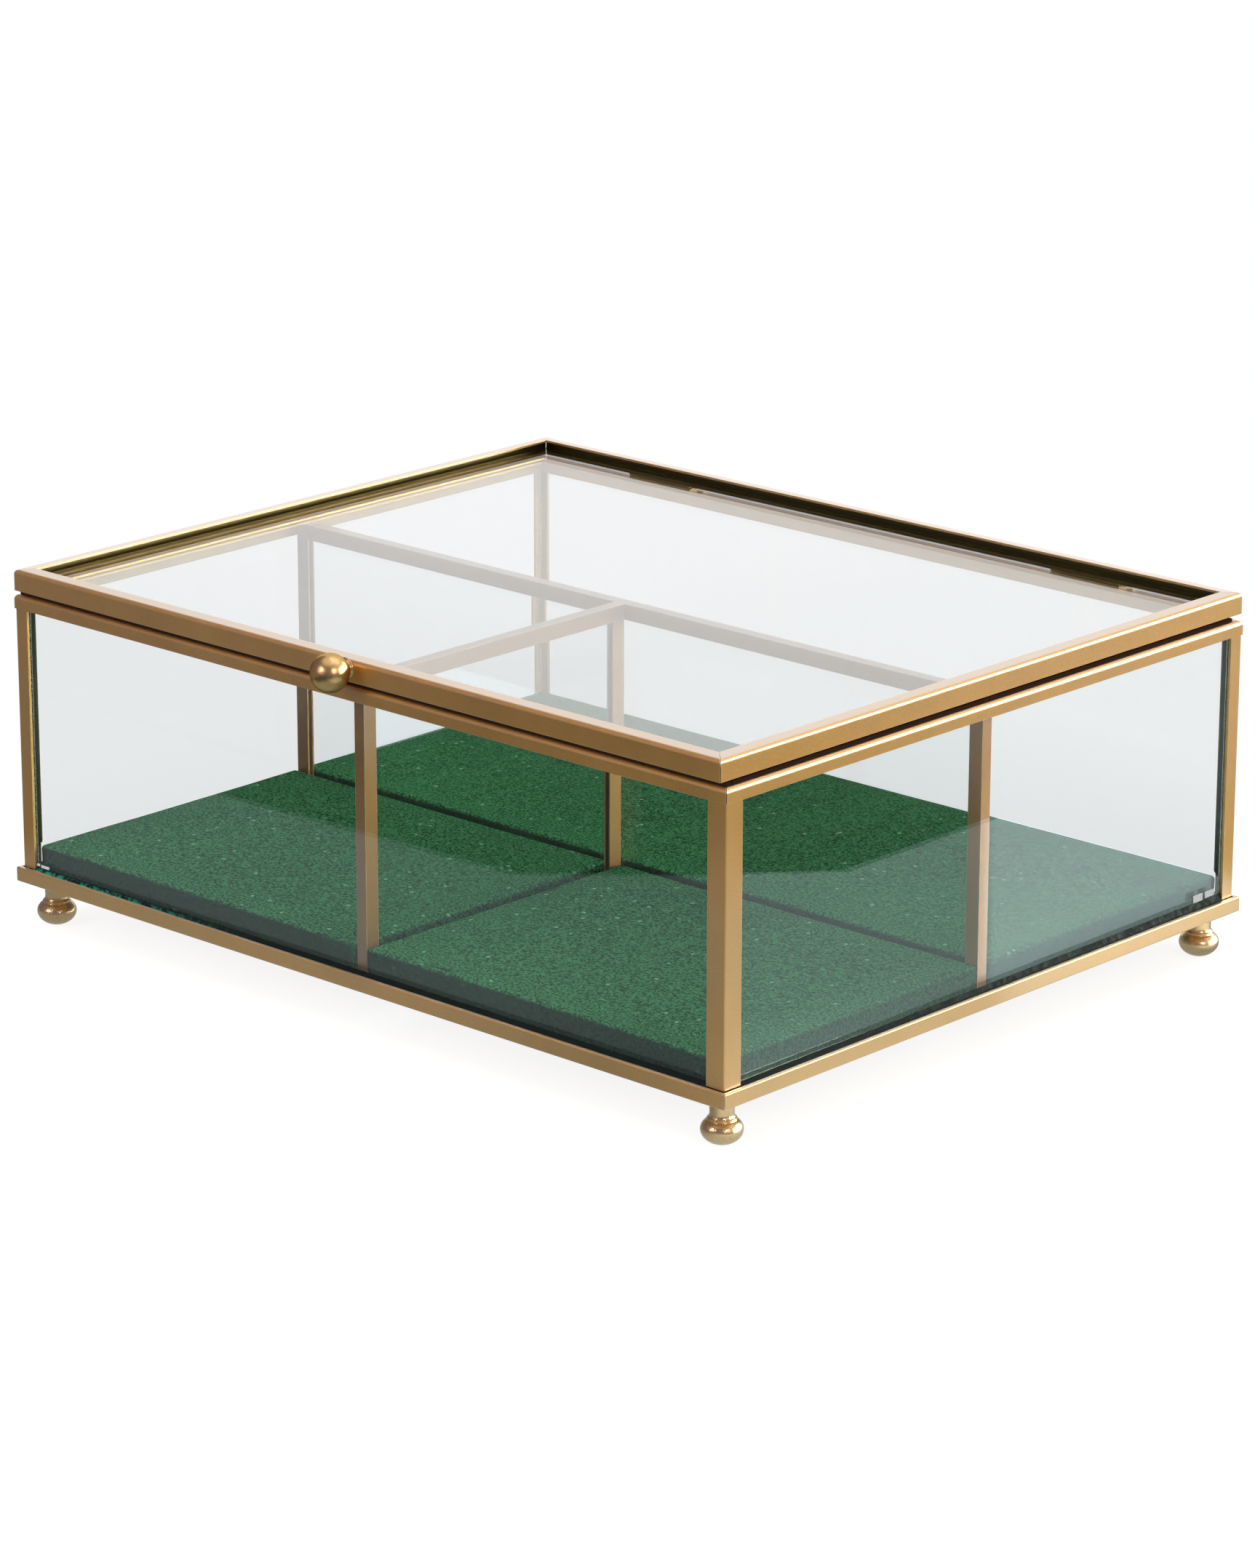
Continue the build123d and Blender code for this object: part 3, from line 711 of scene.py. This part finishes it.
# A bead on each pane between the posts, and a thin run before each post. A side has its distance from the
# middle, where the runs and the bead start and end, and how much higher the bead is at either end.
FILLET = ((0.83, 2.63), (0.83, 3.08), (1.20, 3.4), (1.72, 3.7), (1.72, 2.63))
THIN_RUN = ((0.83, 2.63), (0.83, 3.08), (1.12, 3.3), (1.12, 2.63))
RUN_GAP = 0.02
BEADS = {"front": (80, -98.8, -95.5, 94.1, 98.8, (0.0, 0.3)),
         "right": (100, -78.8, -74.1, 75.5, 78.8, (0.1, 0.9)),
         "back": (80, -98.8, -95.5, 95.5, 98.8, (0.0, 0.0)),
         "left": (100, -78.8, -75.5, 75.5, 78.8, (0.0, 0.0))}
for side, (half, start, leave, reach, end, rise) in BEADS.items():
    form = bmesh.new()
    strip(form, side, half, leave, reach, FILLET, rise)
    strip(form, side, half, start, leave - RUN_GAP, THIN_RUN)
    strip(form, side, half, reach + RUN_GAP, end, THIN_RUN)
    flat_piece(f"sealant_{side}", SHADE_SEALANT, form)

# Upright dark beads in two inside corners, painted shade beside the posts, slimmer beside the pads, as
# (width, low, high)
CORNER_X, CORNER_Y = 96.22, 76.12
UPRIGHT_RUNS = ((1.3, 8.9, 61.0), (0.85, 2.7, 8.88))
for corner, x_side, y_side in (("front_left", -1, -1), ("back_right", 1, 1)):
    form = bmesh.new()
    for width, low_z, high_z in UPRIGHT_RUNS:
        outline = ((CORNER_X, CORNER_Y), (CORNER_X - width, CORNER_Y), (CORNER_X, CORNER_Y - width))
        foot_ring, head_ring = ([form.verts.new(Vector((x_side * x, y_side * y, height)) * MM + HOME)
                                 for x, y in outline] for height in (low_z, high_z))
        for spot in range(3):
            form.faces.new((foot_ring[spot - 1], foot_ring[spot], head_ring[spot], head_ring[spot - 1]))
        form.faces.new(foot_ring)
        form.faces.new(head_ring[::-1])
    flat_piece(f"corner_shade_bead_{corner}", CORNER_SHADE_BEAD, form)

# Dark felt in the gap under the lid, on the front and right, is painted shade.
GAP_SHADE_SECTION = ((0.9, 62.63), (0.9, 63.4), (2.5, 63.4), (2.5, 62.63))
for side, half, end in (("front", 79.05, 98.0), ("right", 99.05, 76.4)):
    form = bmesh.new()
    strip(form, side, half, -end, end, GAP_SHADE_SECTION)
    flat_piece(f"gap_shade_strip_{side}", GAP_SHADE, form)

# (side, distance from the middle, along, along, low, high) of each dab on a pane's outer face
DABS = {"a": ("front", 80, -93.9, -91.5, 3.9, 4.45), "b": ("front", 80, -95.2, -94.4, 4.1, 4.6),
        "c": ("right", 100, 66.2, 69.2, 4.7, 6.2), "d": ("right", 100, 70.1, 73.1, 4.9, 6.2)}
for mark, (side, half, start, end, low_z, high_z) in DABS.items():
    form = bmesh.new()
    strip(form, side, half, start, end, ((1.5, low_z), (1.6, high_z), (1.72, high_z), (1.72, low_z)))
    flat_piece(f"glue_dab_{mark}", GLUE, form)


# Stage: a white board under the box, and cards round it that only show in reflections

# Levels of the board, where 1 is white
BOARD_LIFT = 0.84
BOARD_PAINT = (0.36, 0.36, 0.36, 1)
BOARD_THROUGH_GLASS = 0.93
BOARD_MIRRORED, BOARD_RIGHT = 0.45, 0.34
BOARD_MIRRORED_TINT = (0.86, 1.0, 1.06, 1)

# The board's outline shows in the panes: a sheet with a broad tongue towards the camera.
BOARD_OUTLINE = ((-137, 120.5), (-137, -165), (-47, -169), (153, -345),
                 (391, -150), (191, 68), (191.5, 120.5))
# The painted light on it ends along a slant, where y - LIT_SLOPE * x is between these two.
LIT_SLOPE = 1.232
LIT_START, LIT_FULL = -121 * MM, -117 * MM

TABLE_HALF, TABLE_LOW = 6, -2 * MM


def once_mirrored(tree):
    """1 for a ray that has been reflected on its way, by metal or on either face of a pane."""
    return arith(tree, "GREATER_THAN", add(tree, "LightPath").outputs["Glossy Depth"], 0.5)


def mirrored_shader(name, colour, strength):
    """A glow that only reflected rays meet. Other rays pass through."""
    material, tree = empty_material(name)
    level = strength(tree) if callable(strength) else strength
    clear = add(tree, "BsdfTransparent").outputs["BSDF"]
    close(tree, mix_shaders(tree, once_mirrored(tree), clear, emission(tree, colour, level)))
    return material


def stage_mesh(name, corners, faces, material):
    """A piece of the stage, which is no part of the box."""
    data = bpy.data.meshes.new(name)
    data.from_pydata(corners, [], faces)
    data.materials.append(material)
    made = bpy.data.objects.new(name, data)
    bpy.context.scene.collection.objects.link(made)
    return made


def seen_in_reflections_only(made):
    made.visible_camera = False
    made.visible_diffuse = False
    made.visible_volume_scatter = False
    made.visible_shadow = False


def wall_card(name, first, last, low, high, distance, material):
    """A curved card round the box between two azimuths, from one height to another."""
    corners, faces = [], []
    steps = 16
    for step in range(steps + 1):
        turn = math.radians(first + (last - first) * step / steps)
        for height in (low, high):
            corners.append((distance * math.sin(turn), -distance * math.cos(turn), height))
    for step in range(steps):
        faces.append((2 * step, 2 * step + 1, 2 * step + 3, 2 * step + 2))
    seen_in_reflections_only(stage_mesh(name, corners, faces, material))


def mirrored_level(tree):
    """How bright the board is in reflections: painted light, more so on the right, and painted shade in
    places.
    """
    x, y, _ = split(tree, own_place(tree))
    # Paler close beside the right pane, towards the front
    beside = times(tree, spans(tree, x, 145 * MM, 115 * MM, 0.0, 0.4),
                   spans(tree, x, 80 * MM, 100 * MM, 0.0, 1.0))
    beside = times(tree, beside, spans(tree, y, 80 * MM, -20 * MM, 0.0, 1.0))
    # Duller close before the right half of the front pane
    before = times(tree, spans(tree, y, -170 * MM, -140 * MM, 0.0, -0.10),
                   spans(tree, y, -60 * MM, -80 * MM, 0.0, 1.0))
    before = times(tree, before, times(tree, spans(tree, x, 0.0, 50 * MM, 0.0, 1.0),
                                       spans(tree, x, 110 * MM, 90 * MM, 0.0, 1.0)))
    # Brighter on the right, most of all behind the slant
    past_slant = arith(tree, "SUBTRACT", y, times(tree, x, LIT_SLOPE))
    lit = times(tree, spans(tree, past_slant, LIT_START, LIT_FULL, 0.0, 1.0),
                spans(tree, x, 108 * MM, 135 * MM, 0.45, 1.28))
    right = times(tree, spans(tree, x, 100 * MM, 110 * MM, 0.0, 1.0), plus(tree, lit, BOARD_RIGHT))
    level = plus(tree, plus(tree, right, plus(tree, beside, before)), BOARD_MIRRORED)
    # Dark on the tongue
    tongue = times(tree, spans(tree, y, -190 * MM, -210 * MM, 0.0, 0.8),
                   spans(tree, x, -10 * MM, 20 * MM, 0.0, 1.0))
    return times(tree, level, arith(tree, "SUBTRACT", 1.0, tongue))


def white_board(name):
    """White paint that takes the box's shadow, lifted to the white of the background for the eye."""
    material, tree = empty_material(name)
    path = add(tree, "LightPath")
    glow = emission(tree, WHITE, times(tree, path.outputs["Is Camera Ray"], BOARD_LIFT))
    paint = add(tree, "BsdfDiffuse", {"Color": BOARD_PAINT}).outputs["BSDF"]
    board = add(tree, "AddShader", {0: paint, 1: glow}).outputs["Shader"]
    through_glass = emission(tree, WHITE, BOARD_THROUGH_GLASS)
    board = mix_shaders(tree, path.outputs["Is Transmission Ray"], board, through_glass)
    image = emission(tree, BOARD_MIRRORED_TINT, mirrored_level(tree))
    close(tree, mix_shaders(tree, once_mirrored(tree), board, image))
    return material


def table_level(tree):
    """The dark table top is painted paler behind the box and to its left, as painted light in reflections."""
    x, y, _ = split(tree, own_place(tree))
    return plus(tree, spans(tree, y, 130 * MM, 200 * MM, 0.06, 0.6),
                spans(tree, x, -145 * MM, -190 * MM, 0.0, 0.2))


stage_mesh("floor_board", [(x * MM, y * MM, 0) for x, y in BOARD_OUTLINE], [tuple(range(len(BOARD_OUTLINE)))],
           white_board("floor_white"))
table_corners = [(x * TABLE_HALF, y * TABLE_HALF, TABLE_LOW) for x, y in ((-1, -1), (1, -1), (1, 1), (-1, 1))]
seen_in_reflections_only(stage_mesh("dark_table", table_corners, [(0, 1, 2, 3)],
                                    mirrored_shader("dark_table_top", WHITE, table_level)))
wall_card("dark_front", first=-115, last=96, low=-0.01, high=3.0, distance=2.0,
          material=mirrored_shader("dark_front_card", (1.0, 0.90, 1.30, 1), 0.225))
wall_card("pale_back_left", first=195, last=250, low=0.15, high=1.1, distance=1.6,
          material=mirrored_shader("pale_card", WHITE, 1.34))
wall_card("bright_back_right", first=108, last=172, low=0.0, high=0.9, distance=1.6,
          material=mirrored_shader("bright_card", (0.95, 1.0, 0.96, 1), 12.0))


# Lamps

LAMP_TARGET = Vector((0, 0, 40 * MM))


def softbox(name, azimuth, elevation, distance, size, radiance):
    """A square soft light turned to the middle of the box. The panes don't mirror it."""
    data = bpy.data.lights.new(name, "AREA")
    data.shape = "SQUARE"
    data.size = size
    data.energy = math.pi * size * size * radiance
    data.cycles.use_multiple_importance_sampling = False
    made = bpy.data.objects.new(name, data)
    turn, rise = math.radians(azimuth), math.radians(elevation)
    back = Vector((math.sin(turn) * math.cos(rise), -math.cos(turn) * math.cos(rise), math.sin(rise)))
    made.location = LAMP_TARGET + back * distance
    made.rotation_euler = (-back).to_track_quat("-Z", "Y").to_euler()
    made.visible_camera = False
    made.visible_transmission = False
    bpy.context.scene.collection.objects.link(made)


softbox("softbox_left", azimuth=-10, elevation=27, distance=1.1, size=0.42, radiance=3.6)
softbox("softbox_right", azimuth=70, elevation=27, distance=1.1, size=0.42, radiance=4.2)
softbox("softbox_top", azimuth=150, elevation=68, distance=1.3, size=1.0, radiance=0.9)


# World: white to the eye, to gloss and through glass, and a plain level of soft light to matt surfaces

SOFT_LEVEL = 0.5

world = bpy.data.worlds.new("studio")
world.use_nodes = True
sky = world.node_tree
sky.nodes.clear()
rays = add(sky, "LightPath")
shown = arith(sky, "MAXIMUM", rays.outputs["Is Camera Ray"], rays.outputs["Is Glossy Ray"])
shown = arith(sky, "MAXIMUM", shown, rays.outputs["Is Transmission Ray"])
shown = times(sky, shown, arith(sky, "LESS_THAN", rays.outputs["Diffuse Depth"], 0.5))
level = spans(sky, shown, 0.0, 1.0, SOFT_LEVEL, 1.0)
backdrop = add(sky, "Background", {"Color": WHITE, "Strength": level})
add(sky, "OutputWorld", {"Surface": backdrop.outputs["Background"]})
bpy.context.scene.world = world


# Camera at the photograph's place

CAMERA_PLACE = Vector((729.17, -786.77, 359.82)) * MM + HOME
CAMERA_TARGET = Vector((12.6, -12.4, 30)) * MM + HOME
CAMERA_ROLL = math.radians(-0.105)

camera_data = bpy.data.cameras.new("photo_camera")
camera_data.lens = 124.2
camera_data.sensor_width = 36
camera_data.clip_start = 0.01
camera_data.clip_end = 50
camera = bpy.data.objects.new("photo_camera", camera_data)
bpy.context.scene.collection.objects.link(camera)
camera.location = CAMERA_PLACE
sight = CAMERA_TARGET - camera.location
camera.rotation_mode = "QUATERNION"
camera.rotation_quaternion = sight.to_track_quat("-Z", "Y")
camera.rotation_quaternion.rotate(Quaternion(sight.normalized(), CAMERA_ROLL))
bpy.context.scene.camera = camera

scene = bpy.context.scene
scene.view_settings.view_transform = "Standard"
scene.cycles.max_bounces = 24
scene.cycles.transmission_bounces = 24
scene.cycles.glossy_bounces = 10
scene.cycles.transparent_max_bounces = 24
